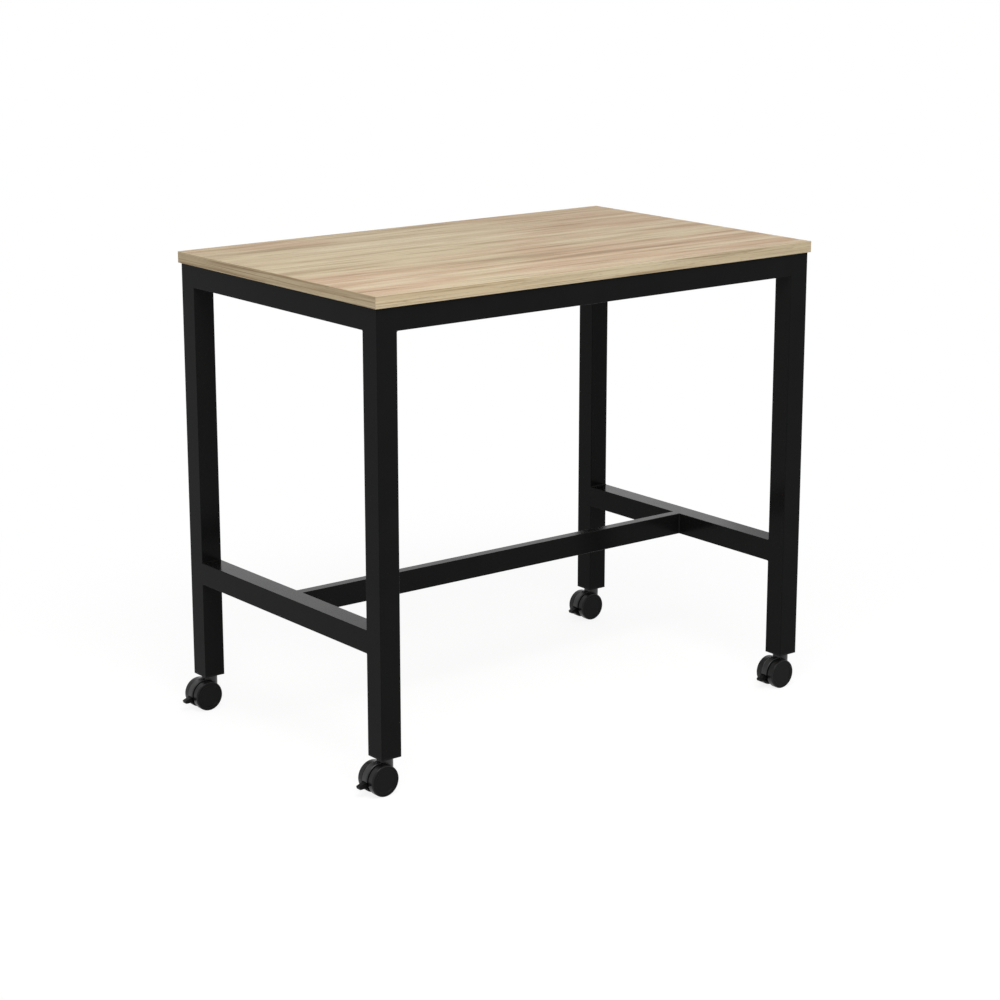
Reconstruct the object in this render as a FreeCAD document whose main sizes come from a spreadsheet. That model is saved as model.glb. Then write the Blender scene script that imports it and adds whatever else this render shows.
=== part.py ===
import FreeCAD, Part
import math
import os
import Sketcher

# Bar table on casters: a laminate top on a welded square-tube frame with an H-shaped foot rest,
# carried by four twin-wheel swivel casters with brake pedals.
# Millimetres. The origin is on the floor under the middle of the top, +X runs along the length,
# -Y is the front long side and +Z is up. All four casters trail towards -X.

SIZES = {
    # Top
    "top_length": 1200,
    "top_depth": 750,
    "top_thickness": 25,
    "table_height": 1050,
    "overhang": 5,
    "band_thickness": 2,
    "band_arris": 1,
    # Frame of square tube
    "tube_size": 50,
    "tube_wall": 1.5,
    "tube_corner": 1.5,
    "tube_inner_corner": 0.5,
    "stretcher_width": 25,
    "foot_rail_height": 300,
    # Tabs and screws under the top
    "tab_length": 40,
    "tab_reach": 30,
    "tab_thickness": 3,
    "tab_corner": 6,
    "tab_end_inset": 145,
    "tab_hole_radius": 2.75,
    "screw_radius": 2.2,
    "screw_grip": 15,
    "screw_point": 3,
    "screw_head_radius": 4.5,
    "screw_head_height": 2.6,
    "screw_head_round": 1.6,
    # Leg inserts, nuts and caster stems
    "caster_height": 79,
    "insert_flange": 4,
    "insert_depth": 25,
    "insert_clearance": 0.2,
    "nut_flats": 17,
    "nut_height": 8,
    "nut_clearance": 0.1,
    "thread_radius": 5,
    "thread_chamfer": 1,
    "collar_radius": 9,
    "collar_thickness": 1,
    "pivot_radius": 5.5,
    "pivot_length": 28,
    "pivot_end_gap": 1,
    "clip_inset": 3,
    "clip_height": 1,
    "clip_width": 1.7,
    "clip_seat_depth": 0.9,
    "clip_opening": 5,
    "clip_clearance": 0.35,
    # Fits
    "seat_clearance": 0.02,
    "running_clearance": 0.05,
    "moving_gap": 0.3,
    # Caster body
    "trail": 17,
    "hood_width": 17,
    "hood_rise": 2.5,
    "hood_wall": 4.5,
    "hood_round": 2.5,
    "hood_lip_rise": 1.2,
    "neck_radius": 17.5,
    "neck_round": 1.2,
    "neck_foot_rise": 12,
    "neck_wheel_gap": 1,
    "web_half_width": 12,
    "web_drop": 12,
    "web_round": 8,
    "cheek_thickness": 2.2,
    "window_clearance": 2.6,
    # Wheels and tyres
    "wheel_radius": 34,
    "wheel_width": 16.5,
    "wheel_gap": 1.5,
    "hub_gap": 0.5,
    "hub_radius": 8,
    "axle_radius": 4,
    "axle_cover": 2,
    "tyre_thickness": 3,
    "tyre_shoulder": 2.5,
    "rim_wall": 3,
    "rim_chamfer": 0.8,
    "disc_thickness": 3.5,
    "disc_recess": 0.5,
    "disc_dish": 0.8,
    "dish_border": 6,
    "rib_thickness": 2,
    "rib_gap": 1.5,
    # Brake lever
    "lever_arm": 9,
    "lever_lip_gap": 0.7,
    "lever_knee_rise": 1.5,
    "pin_radius": 2,
    "pin_boss_wall": 2.2,
    "bar_radius": 2,
    "bar_boss_wall": 1.6,
    "bar_entry": 6,
    "brake_gap": 2,
    "pedal_length": 16,
    "pedal_lip": 1.5,
    "pedal_root_drop": 1.5,
    "pedal_root_height": 12,
    "pedal_tip_drop": 7.3,
    "pedal_tip_height": 6.2,
    "pedal_tip_slope": 2,
    "pedal_round": 1.5,
    # Past the far side of whatever is cut
    "overrun": 2,
}

# Direction from the axle to the brake bar, as shares of their distance
BAR_X_SHARE = -0.798
BAR_Z_SHARE = 0.603
# Where the top of the lever bends up inside the hood, as a share of the hood's inner radius
KNEE_SHARE = 0.9
# Flats of a hexagon to its corners
HEX_CORNER_SHARE = 1 / math.sqrt(3)

WHEEL_RIBS = 6
LONG_RAIL_TAB_SIDES = (-1, 0, 1)
CORNERS = {
    "front_left": (-1, -1),
    "front_right": (1, -1),
    "back_left": (-1, 1),
    "back_right": (1, 1),
}

doc = FreeCAD.newDocument("bar_table")
sheet = doc.addObject("Spreadsheet::Sheet", "Sizes")


class Size:
    """A length: the sheet expression that drives it, and its value for the first drawing."""

    def __init__(self, text, value):
        self.text = text
        self.value = value

    def __add__(self, other):
        return Size(f"({self.text} + {other.text})", self.value + other.value)

    def __sub__(self, other):
        return Size(f"({self.text} - {other.text})", self.value - other.value)

    def __mul__(self, share):
        return Size(f"({self.text} * {share})", self.value * share)

    def __truediv__(self, count):
        return Size(f"({self.text} / {count})", self.value / count)

    def __neg__(self):
        return Size(f"(-{self.text})", -self.value)

    def across(self, other):
        """The other coordinate of a point on a circle of this radius."""
        value = math.sqrt(self.value ** 2 - other.value ** 2)
        return Size(f"sqrt({self.text} ^ 2 - {other.text} ^ 2)", value)


ZERO = Size("0", 0.0)


class Sizes:
    """The driving dimensions by name."""


for row, (alias, value) in enumerate(SIZES.items(), 1):
    sheet.set(f"A{row}", alias)
    sheet.set(f"B{row}", str(value))
    sheet.setAlias(f"B{row}", alias)
    setattr(Sizes, alias, Size(f"Sizes.{alias}", value))
doc.recompute()

S = Sizes


# Sketches and features

def new_body(label, place=(ZERO, ZERO, ZERO)):
    """Starts a piece at its place."""
    body = doc.addObject("PartDesign::Body", label)
    body.Label = label
    for axis, at in zip("xyz", place):
        body.setExpression(f"Placement.Base.{axis}", at.text)
    return body


def origin_feature(body, role):
    return next(f for f in body.Origin.OriginFeatures if f.Role == role)


def new_sketch(body, plane, offset=(ZERO, ZERO, ZERO)):
    """Starts a sketch on one of the body's own planes, moved within it by offset."""
    sketch = body.newObject("Sketcher::SketchObject", f"{body.Name}_sketch")
    sketch.AttachmentSupport = [(origin_feature(body, plane), "")]
    sketch.MapMode = "FlatFace"
    for axis, at in zip("xyz", offset):
        sketch.setExpression(f"AttachmentOffset.Base.{axis}", at.text)
    return sketch


def tie(sketch, kind, *where, size):
    """Adds a dimension that follows the sheet."""
    index = sketch.addConstraint(Sketcher.Constraint(kind, *where, size.value))
    sketch.setExpression(f"Constraints[{index}]", size.text)


def tie_point(sketch, curve, end, x=None, y=None):
    """Ties a sketch point to its coordinates, or to one of them; a zero puts it on the axis."""
    for kind, axis_line, at in (("DistanceX", -2, x), ("DistanceY", -1, y)):
        if at is ZERO:
            sketch.addConstraint(Sketcher.Constraint("PointOnObject", curve, end, axis_line))
        elif at is not None:
            tie(sketch, kind, curve, end, size=at)


def add_circle(sketch, x, y, radius):
    centre = FreeCAD.Vector(x.value, y.value, 0)
    curve = sketch.addGeometry(Part.Circle(centre, FreeCAD.Vector(0, 0, 1), radius.value))
    tie_point(sketch, curve, 3, x, y)
    tie(sketch, "Radius", curve, size=radius)


def add_outline(sketch, corners, arcs=None):
    """Draws a closed outline through corners, each an (x, y).

    arcs gives, by the number of the corner that an arc leaves, its centre and its turn,
    which is 1 for anticlockwise and -1 for clockwise.
    """
    arcs = arcs or {}
    count = len(corners)
    points = [FreeCAD.Vector(x.value, y.value, 0) for x, y in corners]
    curves = []
    for number, start in enumerate(points):
        finish = points[(number + 1) % count]
        if number not in arcs:
            curves.append((sketch.addGeometry(Part.LineSegment(start, finish)), 1, 2))
            continue
        centre, turn = arcs[number]
        middle = FreeCAD.Vector(centre[0].value, centre[1].value, 0)
        first, last = (start, finish) if turn > 0 else (finish, start)
        angles = [math.atan2(p.y - middle.y, p.x - middle.x) for p in (first, last)]
        circle = Part.Circle(middle, FreeCAD.Vector(0, 0, 1), middle.distanceToPoint(start))
        curve = sketch.addGeometry(Part.ArcOfCircle(circle, *angles))
        curves.append((curve, 1, 2) if turn > 0 else (curve, 2, 1))
    for number, (curve, start_end, finish_end) in enumerate(curves):
        following, following_start, _ = curves[(number + 1) % count]
        sketch.addConstraint(
            Sketcher.Constraint("Coincident", curve, finish_end, following, following_start)
        )
        tie_point(sketch, curve, start_end, *corners[number])
        if number in arcs:
            # The ends leave the centre free across the chord only
            (centre_x, centre_y), _ = arcs[number]
            chord = points[(number + 1) % count] - points[number]
            if abs(chord.x) < abs(chord.y):
                tie_point(sketch, curve, 3, x=centre_x)
            else:
                tie_point(sketch, curve, 3, y=centre_y)


def add_rectangle(sketch, low, high):
    add_outline(sketch, [low, (high[0], low[1]), high, (low[0], high[1])])


def add_rounded_rectangle(sketch, half_x, half_y, radius):
    """Draws a rectangle about the sketch's origin with all four corners rounded."""
    x, y = half_x - radius, half_y - radius
    corners = [
        (-x, -half_y), (x, -half_y), (half_x, -y), (half_x, y),
        (x, half_y), (-x, half_y), (-half_x, y), (-half_x, -y),
    ]
    centres = {1: (x, -y), 3: (x, y), 5: (-x, y), 7: (-x, -y)}
    add_outline(sketch, corners, {n: (centre, 1) for n, centre in centres.items()})


def add_hexagon(sketch, flats):
    """Draws a hexagon about the sketch's origin from the distance across its flats."""
    half, corner = flats / 2, flats * HEX_CORNER_SHARE
    add_outline(sketch, [
        (half, -corner / 2), (half, corner / 2), (ZERO, corner),
        (-half, corner / 2), (-half, -corner / 2), (ZERO, -corner),
    ])


def extrude(body, kind, sketch, length, symmetric=False, backwards=False):
    """Adds a Pad or Pocket of the sketch."""
    feature = body.newObject(f"PartDesign::{kind}", f"{body.Name}_{kind.lower()}")
    feature.Profile = sketch
    feature.SideType = "Symmetric" if symmetric else "One side"
    feature.Reversed = backwards
    feature.setExpression("Length", length.text)
    return feature


def turn(body, kind, sketch):
    """Adds a Revolution or Groove of the sketch about its own upright axis."""
    feature = body.newObject(f"PartDesign::{kind}", f"{body.Name}_{kind.lower()}")
    feature.Profile = sketch
    feature.ReferenceAxis = (sketch, ["V_Axis"])
    feature.Angle = 360
    return feature


def fillet(body, radius, wanted):
    """Rounds the edges of the body's last solid that wanted picks."""
    doc.recompute()
    base = body.Tip
    names = [f"Edge{n}" for n, edge in enumerate(base.Shape.Edges, 1) if wanted(edge)]
    feature = body.newObject("PartDesign::Fillet", f"{body.Name}_fillet")
    feature.Base = (base, names)
    feature.setExpression("Radius", radius.text)
    return feature


def is_near(value, size):
    return abs(value - size.value) < S.seat_clearance.value


def is_circle_of(edge, radius):
    return isinstance(edge.Curve, Part.Circle) and is_near(edge.Curve.Radius, radius)


def is_crosswise_at(edge, x, z):
    """Whether an edge runs straight along Y through the given x and z."""
    ends = [v.Point for v in edge.Vertexes]
    return len(ends) == 2 and all(is_near(p.x, x) and is_near(p.z, z) for p in ends)


# Derived sizes of the table

FRAME_TOP = S.table_height - S.top_thickness
FRAME_HALF_LENGTH = S.top_length / 2 - S.overhang
FRAME_HALF_DEPTH = S.top_depth / 2 - S.overhang
LEG_X = FRAME_HALF_LENGTH - S.tube_size / 2
LEG_Y = FRAME_HALF_DEPTH - S.tube_size / 2
RAIL_X = LEG_X - S.tube_size / 2
RAIL_Y = LEG_Y - S.tube_size / 2
TOP_RAIL_Z = FRAME_TOP - S.tube_size / 2
FOOT_RAIL_Z = S.foot_rail_height + S.tube_size / 2
BOARD_HALF_LENGTH = S.top_length / 2 - S.band_thickness
BOARD_HALF_DEPTH = S.top_depth / 2 - S.band_thickness
TAB_X = RAIL_X - S.tab_end_inset
TAB_CENTRE = S.tab_reach / 2

# Derived sizes of the casters, measured from the middle of the axle

HOOD_HALF = S.hood_width / 2
HOOD_RADIUS = S.wheel_radius + S.hood_rise
HOOD_INNER_RADIUS = HOOD_RADIUS - S.hood_wall
RIM_RADIUS = S.wheel_radius - S.tyre_thickness
RIM_INNER_RADIUS = RIM_RADIUS - S.rim_wall
WHEEL_INNER_Y = HOOD_HALF + S.wheel_gap
WHEEL_OUTER_Y = WHEEL_INNER_Y + S.wheel_width
WHEEL_FACE_Y = WHEEL_OUTER_Y - S.disc_recess
DISC_INNER_Y = WHEEL_FACE_Y - S.disc_thickness
AXLE_HALF = WHEEL_FACE_Y - S.disc_dish - S.axle_cover - S.hub_gap
LEVER_HALF = HOOD_HALF - S.cheek_thickness - S.moving_gap
BAR_DISTANCE = RIM_INNER_RADIUS - S.bar_radius - S.brake_gap
BAR_X = BAR_DISTANCE * BAR_X_SHARE
BAR_Z = BAR_DISTANCE * BAR_Z_SHARE
BAR_HALF = WHEEL_INNER_Y + S.bar_entry
PIN_X = BAR_X
PIN_Z = BAR_Z - S.lever_arm
PIN_BOSS = S.pin_radius + S.pin_boss_wall
BAR_BOSS = S.bar_radius + S.bar_boss_wall
NECK_TOP = S.caster_height - S.collar_thickness - S.moving_gap - S.wheel_radius
PIVOT_FOOT = S.caster_height - S.collar_thickness - S.pivot_length
CLIP_FOOT = PIVOT_FOOT + S.clip_inset
CLIP_SEAT_RADIUS = S.pivot_radius - S.clip_seat_depth
CLIP_INNER_RADIUS = CLIP_SEAT_RADIUS + S.seat_clearance
CLIP_OUTER_RADIUS = CLIP_INNER_RADIUS + S.clip_width


# Top

def table_top():
    """The board, drilled from below for the screws."""
    board = new_body("table_top", (ZERO, ZERO, FRAME_TOP))
    sketch = new_sketch(board, "XY_Plane")
    low = (-BOARD_HALF_LENGTH, -BOARD_HALF_DEPTH)
    add_rectangle(sketch, low, (BOARD_HALF_LENGTH, BOARD_HALF_DEPTH))
    extrude(board, "Pad", sketch, S.top_thickness)
    sketch = new_sketch(board, "XY_Plane")
    for x, y, _ in screw_places():
        add_circle(sketch, x, y, S.screw_radius + S.seat_clearance)
    extrude(board, "Pocket", sketch, S.screw_grip + S.seat_clearance, backwards=True)
    return board


def edge_band(label, along, side):
    """One strip of edging, with its outer edges eased. The long strips cover the short ones' ends."""
    long_strip = along == "x"
    half = S.top_length / 2 if long_strip else BOARD_HALF_DEPTH
    inner = BOARD_HALF_DEPTH if long_strip else BOARD_HALF_LENGTH
    plane = "YZ_Plane" if long_strip else "XZ_Plane"
    place = (-half, ZERO, FRAME_TOP) if long_strip else (ZERO, half, FRAME_TOP)
    band = new_body(label, place)
    sketch = new_sketch(band, plane)
    outer = inner + S.band_thickness
    eased = outer - S.band_arris
    corners = [
        (inner * side, ZERO),
        (eased * side, ZERO),
        (outer * side, S.band_arris),
        (outer * side, S.top_thickness - S.band_arris),
        (eased * side, S.top_thickness),
        (inner * side, S.top_thickness),
    ]
    arcs = {
        1: ((eased * side, S.band_arris), side),
        3: ((eased * side, S.top_thickness - S.band_arris), side),
    }
    add_outline(sketch, corners, arcs)
    extrude(band, "Pad", sketch, half * 2)
    return band


# Frame

def tube(label, along, width, height, half_length, centre):
    """A straight length of tube with rounded corners, about its centre."""
    plane = {"x": "YZ_Plane", "y": "XZ_Plane", "z": "XY_Plane"}[along]
    body = new_body(label, centre)
    sketch = new_sketch(body, plane)
    add_rounded_rectangle(sketch, width / 2, height / 2, S.tube_corner)
    inner_x = width / 2 - S.tube_wall
    inner_y = height / 2 - S.tube_wall
    add_rounded_rectangle(sketch, inner_x, inner_y, S.tube_inner_corner)
    extrude(body, "Pad", sketch, half_length * 2, symmetric=True)
    return body


def leg(label, side_x, side_y):
    foot = S.caster_height + S.insert_flange
    centre = (LEG_X * side_x, LEG_Y * side_y, (FRAME_TOP + foot) / 2)
    return tube(label, "z", S.tube_size, S.tube_size, (FRAME_TOP - foot) / 2, centre)


def frame():
    """Legs and rails, butted face to face as they are welded."""
    square = (S.tube_size, S.tube_size)
    pieces = [leg(f"leg_{corner}", *sides) for corner, sides in CORNERS.items()]
    for name, side in (("front", -1), ("back", 1)):
        centre = (ZERO, LEG_Y * side, TOP_RAIL_Z)
        pieces.append(tube(f"top_rail_{name}", "x", *square, RAIL_X, centre))
    for name, side in (("left", -1), ("right", 1)):
        for kind, height in (("top", TOP_RAIL_Z), ("foot", FOOT_RAIL_Z)):
            centre = (LEG_X * side, ZERO, height)
            pieces.append(tube(f"{kind}_rail_{name}", "y", *square, RAIL_Y, centre))
    centre = (ZERO, ZERO, FOOT_RAIL_Z)
    pieces.append(tube("stretcher", "x", S.stretcher_width, S.tube_size, RAIL_X, centre))
    return pieces


# Fixings under the top

def tab_places():
    """Middle of each tab's welded edge, with its direction as an (x, y) and its tab's long axis."""
    places = []
    for side in (-1, 1):
        for step in LONG_RAIL_TAB_SIDES:
            x = TAB_X * step if step else ZERO
            places.append((x, RAIL_Y * side, (0, -side)))
        places.append((RAIL_X * side, ZERO, (-side, 0)))
    return places


def screw_places():
    places = []
    for x, y, (way_x, way_y) in tab_places():
        screw_x = x + TAB_CENTRE * way_x if way_x else x
        screw_y = y + TAB_CENTRE * way_y if way_y else y
        places.append((screw_x, screw_y, FRAME_TOP - S.tab_thickness))
    return places


def fixing_tab(number, x, y, way):
    """A flat steel tab with its free corners rounded and a hole for the screw."""
    tab = new_body(f"fixing_tab_{number}", (x, y, FRAME_TOP - S.tab_thickness))
    sketch = new_sketch(tab, "XY_Plane")
    half = S.tab_length / 2
    reach, eased = S.tab_reach, S.tab_reach - S.tab_corner
    eased_half = half - S.tab_corner
    outline = [
        (ZERO, -half), (eased, -half), (reach, -eased_half),
        (reach, eased_half), (eased, half), (ZERO, half),
    ]
    arcs = {
        1: ((eased, -eased_half), 1),
        3: ((eased, eased_half), 1),
    }
    add_outline(sketch, outline, arcs)
    add_circle(sketch, TAB_CENTRE, ZERO, S.tab_hole_radius)
    extrude(tab, "Pad", sketch, S.tab_thickness)
    tab.Placement.Rotation = FreeCAD.Rotation(FreeCAD.Vector(1, 0, 0), FreeCAD.Vector(*way, 0))
    return tab


def top_screw(number, place):
    """A pan-head screw, head down, from under its tab into the board."""
    screw = new_body(f"top_screw_{number}", place)
    sketch = new_sketch(screw, "XZ_Plane")
    tip = S.tab_thickness + S.screw_grip
    head_edge = S.screw_head_radius - S.screw_head_round
    corners = [
        (ZERO, -S.screw_head_height),
        (head_edge, -S.screw_head_height),
        (S.screw_head_radius, S.screw_head_round - S.screw_head_height),
        (S.screw_head_radius, ZERO),
        (S.screw_radius, ZERO),
        (S.screw_radius, tip - S.screw_point),
        (ZERO, tip),
    ]
    centre = (head_edge, S.screw_head_round - S.screw_head_height)
    add_outline(sketch, corners, {1: (centre, 1)})
    turn(screw, "Revolution", sketch)
    return screw


# Leg ends

def leg_insert(corner, place):
    """A nylon plug: a flange under the tube, a square plug in it and a hexagon seat for the nut."""
    insert = new_body(f"leg_insert_{corner}", place)
    half = S.tube_size / 2
    plug = half - S.tube_wall - S.insert_clearance
    hole = S.thread_radius + S.insert_clearance
    sketch = new_sketch(insert, "XY_Plane")
    add_rounded_rectangle(sketch, half, half, S.tube_corner)
    add_circle(sketch, ZERO, ZERO, hole)
    extrude(insert, "Pad", sketch, S.insert_flange)
    sketch = new_sketch(insert, "XY_Plane", (ZERO, ZERO, S.insert_flange))
    add_rounded_rectangle(sketch, plug, plug, S.tube_corner)
    add_circle(sketch, ZERO, ZERO, hole)
    extrude(insert, "Pad", sketch, S.insert_depth)
    sketch = new_sketch(insert, "XY_Plane", (ZERO, ZERO, S.insert_flange + S.insert_depth))
    add_hexagon(sketch, S.nut_flats + S.nut_clearance * 2)
    extrude(insert, "Pocket", sketch, S.nut_height)
    return insert


def insert_nut(corner, place):
    nut = new_body(f"insert_nut_{corner}", place)
    rise = S.insert_flange + S.insert_depth - S.nut_height
    sketch = new_sketch(nut, "XY_Plane", (ZERO, ZERO, rise))
    add_hexagon(sketch, S.nut_flats)
    add_circle(sketch, ZERO, ZERO, S.thread_radius + S.seat_clearance)
    extrude(nut, "Pad", sketch, S.nut_height)
    return nut


def caster_stem(corner, place):
    """Thread up into the nut, a collar under the insert and the pin that the caster swivels on."""
    stem = new_body(f"caster_stem_{corner}", place)
    sketch = new_sketch(stem, "XZ_Plane")
    thread_top = S.insert_flange + S.insert_depth
    foot = -S.collar_thickness - S.pivot_length
    seat = foot + S.clip_inset
    corners = [
        (ZERO, thread_top),
        (ZERO, foot),
        (S.pivot_radius - S.thread_chamfer, foot),
        (S.pivot_radius, foot + S.thread_chamfer),
        (S.pivot_radius, seat),
        (CLIP_SEAT_RADIUS, seat),
        (CLIP_SEAT_RADIUS, seat + S.clip_height),
        (S.pivot_radius, seat + S.clip_height),
        (S.pivot_radius, -S.collar_thickness),
        (S.collar_radius, -S.collar_thickness),
        (S.collar_radius, ZERO),
        (S.thread_radius, ZERO),
        (S.thread_radius, thread_top - S.thread_chamfer),
        (S.thread_radius - S.thread_chamfer, thread_top),
    ]
    add_outline(sketch, corners)
    turn(stem, "Revolution", sketch)
    return stem


def stem_clip(corner, place):
    """An open ring in the pin's groove, which runs in a groove of the caster's bore."""
    clip = new_body(f"stem_clip_{corner}", place)
    rise = S.clip_inset - S.collar_thickness - S.pivot_length
    sketch = new_sketch(clip, "XY_Plane", (ZERO, ZERO, rise))
    opening = S.clip_opening / 2
    outer_x = CLIP_OUTER_RADIUS.across(opening)
    inner_x = CLIP_INNER_RADIUS.across(opening)
    outline = [(outer_x, opening), (outer_x, -opening), (inner_x, -opening), (inner_x, opening)]
    centre = (ZERO, ZERO)
    arcs = {0: (centre, 1), 2: (centre, -1)}
    add_outline(sketch, outline, arcs)
    extrude(clip, "Pad", sketch, S.clip_height)
    return clip


def group(label, members):
    """Identical pieces in one node."""
    compound = doc.addObject("Part::Compound", label)
    compound.Label = label
    compound.Links = members
    return compound


def leg_ends():
    """What joins each caster to its leg."""
    places = {
        corner: (LEG_X * side_x, LEG_Y * side_y, S.caster_height)
        for corner, (side_x, side_y) in CORNERS.items()
    }
    kinds = {
        "leg_inserts": leg_insert,
        "insert_nuts": insert_nut,
        "caster_stems": caster_stem,
        "stem_clips": stem_clip,
    }
    return [
        group(label, [make(corner, place) for corner, place in places.items()])
        for label, make in kinds.items()
    ]


# Casters, each drawn about the middle of its axle

def round_bar(label, place, x, z, radius, half_length):
    """A straight round bar along Y."""
    bar = new_body(label, place)
    sketch = new_sketch(bar, "XZ_Plane")
    add_circle(sketch, x, z, radius)
    extrude(bar, "Pad", sketch, half_length * 2, symmetric=True)
    return bar


def caster_body(label, place):
    """The moulded hood, neck and web, with the lever's slot and the bores for stem, axle and pin."""
    body = new_body(label, place)
    past_hood = HOOD_RADIUS + S.overrun
    wide = S.neck_radius * 2 + S.overrun

    sketch = new_sketch(body, "XZ_Plane")
    add_circle(sketch, ZERO, ZERO, HOOD_RADIUS)
    extrude(body, "Pad", sketch, S.hood_width, symmetric=True)
    fillet(body, S.hood_round, lambda edge: is_circle_of(edge, HOOD_RADIUS))

    sketch = new_sketch(body, "XY_Plane", (ZERO, ZERO, S.neck_foot_rise))
    add_circle(sketch, S.trail, ZERO, S.neck_radius)
    extrude(body, "Pad", sketch, NECK_TOP - S.neck_foot_rise)
    fillet(
        body,
        S.neck_round,
        lambda edge: is_circle_of(edge, S.neck_radius) and is_near(edge.BoundBox.ZMin, NECK_TOP),
    )

    # Room for the wheels on both sides of the hood
    sketch = new_sketch(body, "XY_Plane")
    room = S.wheel_radius + S.neck_wheel_gap
    for side in (-1, 1):
        corners = [
            (ZERO, HOOD_HALF * side), (room, HOOD_HALF * side),
            (room, wide * side), (ZERO, wide * side),
        ]
        add_outline(sketch, corners)
    turn(body, "Groove", sketch)

    # The web ends in a rounded foot just below the axle
    sketch = new_sketch(body, "XZ_Plane")
    corners = [
        (-past_hood, S.hood_lip_rise),
        (-S.web_half_width, -S.web_drop),
        (S.web_half_width, -S.web_drop),
        (past_hood, S.neck_foot_rise),
        (past_hood, -past_hood),
        (-past_hood, -past_hood),
    ]
    add_outline(sketch, corners)
    extrude(body, "Pocket", sketch, wide * 2, symmetric=True)
    fillet(
        body,
        S.web_round,
        lambda edge: is_crosswise_at(edge, S.web_half_width, -S.web_drop)
        or is_crosswise_at(edge, -S.web_half_width, -S.web_drop),
    )

    # Slot that the lever swings in, open at the back below the hood's lip
    sketch = new_sketch(body, "XZ_Plane")
    slot_front = PIN_X + PIN_BOSS + S.moving_gap * 2
    slot_top = HOOD_INNER_RADIUS.across(slot_front)
    lip_x = HOOD_INNER_RADIUS.across(S.hood_lip_rise)
    corners = [
        (-past_hood, S.hood_lip_rise),
        (-past_hood, -past_hood),
        (slot_front, -past_hood),
        (slot_front, slot_top),
        (-lip_x, S.hood_lip_rise),
    ]
    add_outline(sketch, corners, {3: ((ZERO, ZERO), 1)})
    extrude(body, "Pocket", sketch, (LEVER_HALF + S.moving_gap) * 2, symmetric=True)

    # Bore for the stem's pin, with the groove that the clip runs in
    sketch = new_sketch(body, "XZ_Plane", (S.trail, ZERO, ZERO))
    bore = S.pivot_radius + S.running_clearance
    groove = CLIP_OUTER_RADIUS + S.clip_clearance
    bore_foot = PIVOT_FOOT - S.pivot_end_gap - S.wheel_radius
    groove_foot = CLIP_FOOT - S.clip_clearance - S.wheel_radius
    groove_top = CLIP_FOOT + S.clip_height + S.clip_clearance - S.wheel_radius
    past_neck = NECK_TOP + S.overrun
    corners = [
        (ZERO, bore_foot), (bore, bore_foot), (bore, groove_foot), (groove, groove_foot),
        (groove, groove_top), (bore, groove_top), (bore, past_neck), (ZERO, past_neck),
    ]
    add_outline(sketch, corners)
    turn(body, "Groove", sketch)

    # Holes for the axle and the lever's pin, and windows for the brake bar
    sketch = new_sketch(body, "XZ_Plane")
    add_circle(sketch, ZERO, ZERO, S.axle_radius + S.seat_clearance)
    add_circle(sketch, PIN_X, PIN_Z, S.pin_radius + S.seat_clearance)
    add_circle(sketch, BAR_X, BAR_Z, S.bar_radius + S.window_clearance)
    extrude(body, "Pocket", sketch, S.hood_width + S.overrun, symmetric=True)
    return body


def wheel(label, place, side):
    """A moulded cup with its hub, ribs and rim, open towards the hood."""
    body = new_body(label, place)
    bore = S.axle_radius + S.running_clearance
    rim = RIM_RADIUS - S.seat_clearance
    dish_radius = RIM_RADIUS - S.dish_border
    dish_y = WHEEL_FACE_Y - S.disc_dish
    bore_end = AXLE_HALF + S.hub_gap
    profile = [
        (bore, HOOD_HALF + S.hub_gap),
        (S.hub_radius, HOOD_HALF + S.hub_gap),
        (S.hub_radius, DISC_INNER_Y),
        (RIM_INNER_RADIUS, DISC_INNER_Y),
        (RIM_INNER_RADIUS, WHEEL_INNER_Y),
        (rim, WHEEL_INNER_Y),
        (rim, WHEEL_FACE_Y - S.rim_chamfer),
        (rim - S.rim_chamfer, WHEEL_FACE_Y),
        (dish_radius, WHEEL_FACE_Y),
        (dish_radius - S.disc_dish, dish_y),
        (ZERO, dish_y),
        (ZERO, bore_end),
        (bore, bore_end),
    ]
    sketch = new_sketch(body, "XY_Plane")
    add_outline(sketch, [(radius, y * side) for radius, y in profile])
    turn(body, "Revolution", sketch)

    # Ribs from the hub to the rim, clear of the brake bar
    rib_y = BAR_HALF + S.rib_gap
    sketch = new_sketch(body, "XZ_Plane", (ZERO, ZERO, rib_y * -side))
    inner = S.hub_radius - S.rim_chamfer
    outer = RIM_INNER_RADIUS + S.rim_chamfer
    add_rectangle(sketch, (inner, -S.rib_thickness / 2), (outer, S.rib_thickness / 2))
    rib = extrude(body, "Pad", sketch, DISC_INNER_Y - rib_y, backwards=side > 0)
    ribs = body.newObject("PartDesign::PolarPattern", f"{label}_ribs")
    ribs.Originals = [rib]
    ribs.Axis = (origin_feature(body, "Y_Axis"), [""])
    ribs.Angle = 360
    ribs.Occurrences = WHEEL_RIBS
    body.Tip = ribs
    return body


def tyre(label, place, side):
    """A soft tread round the rim, with rounded shoulders."""
    body = new_body(label, place)
    tread = S.wheel_radius
    eased = tread - S.tyre_shoulder
    inner_eased = (WHEEL_INNER_Y + S.tyre_shoulder) * side
    outer_eased = (WHEEL_OUTER_Y - S.tyre_shoulder) * side
    corners = [
        (RIM_RADIUS, WHEEL_INNER_Y * side),
        (eased, WHEEL_INNER_Y * side),
        (tread, inner_eased),
        (tread, outer_eased),
        (eased, WHEEL_OUTER_Y * side),
        (RIM_RADIUS, WHEEL_OUTER_Y * side),
    ]
    arcs = {
        1: ((eased, inner_eased), side),
        3: ((eased, outer_eased), side),
    }
    sketch = new_sketch(body, "XY_Plane")
    add_outline(sketch, corners, arcs)
    turn(body, "Revolution", sketch)
    return body


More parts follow.
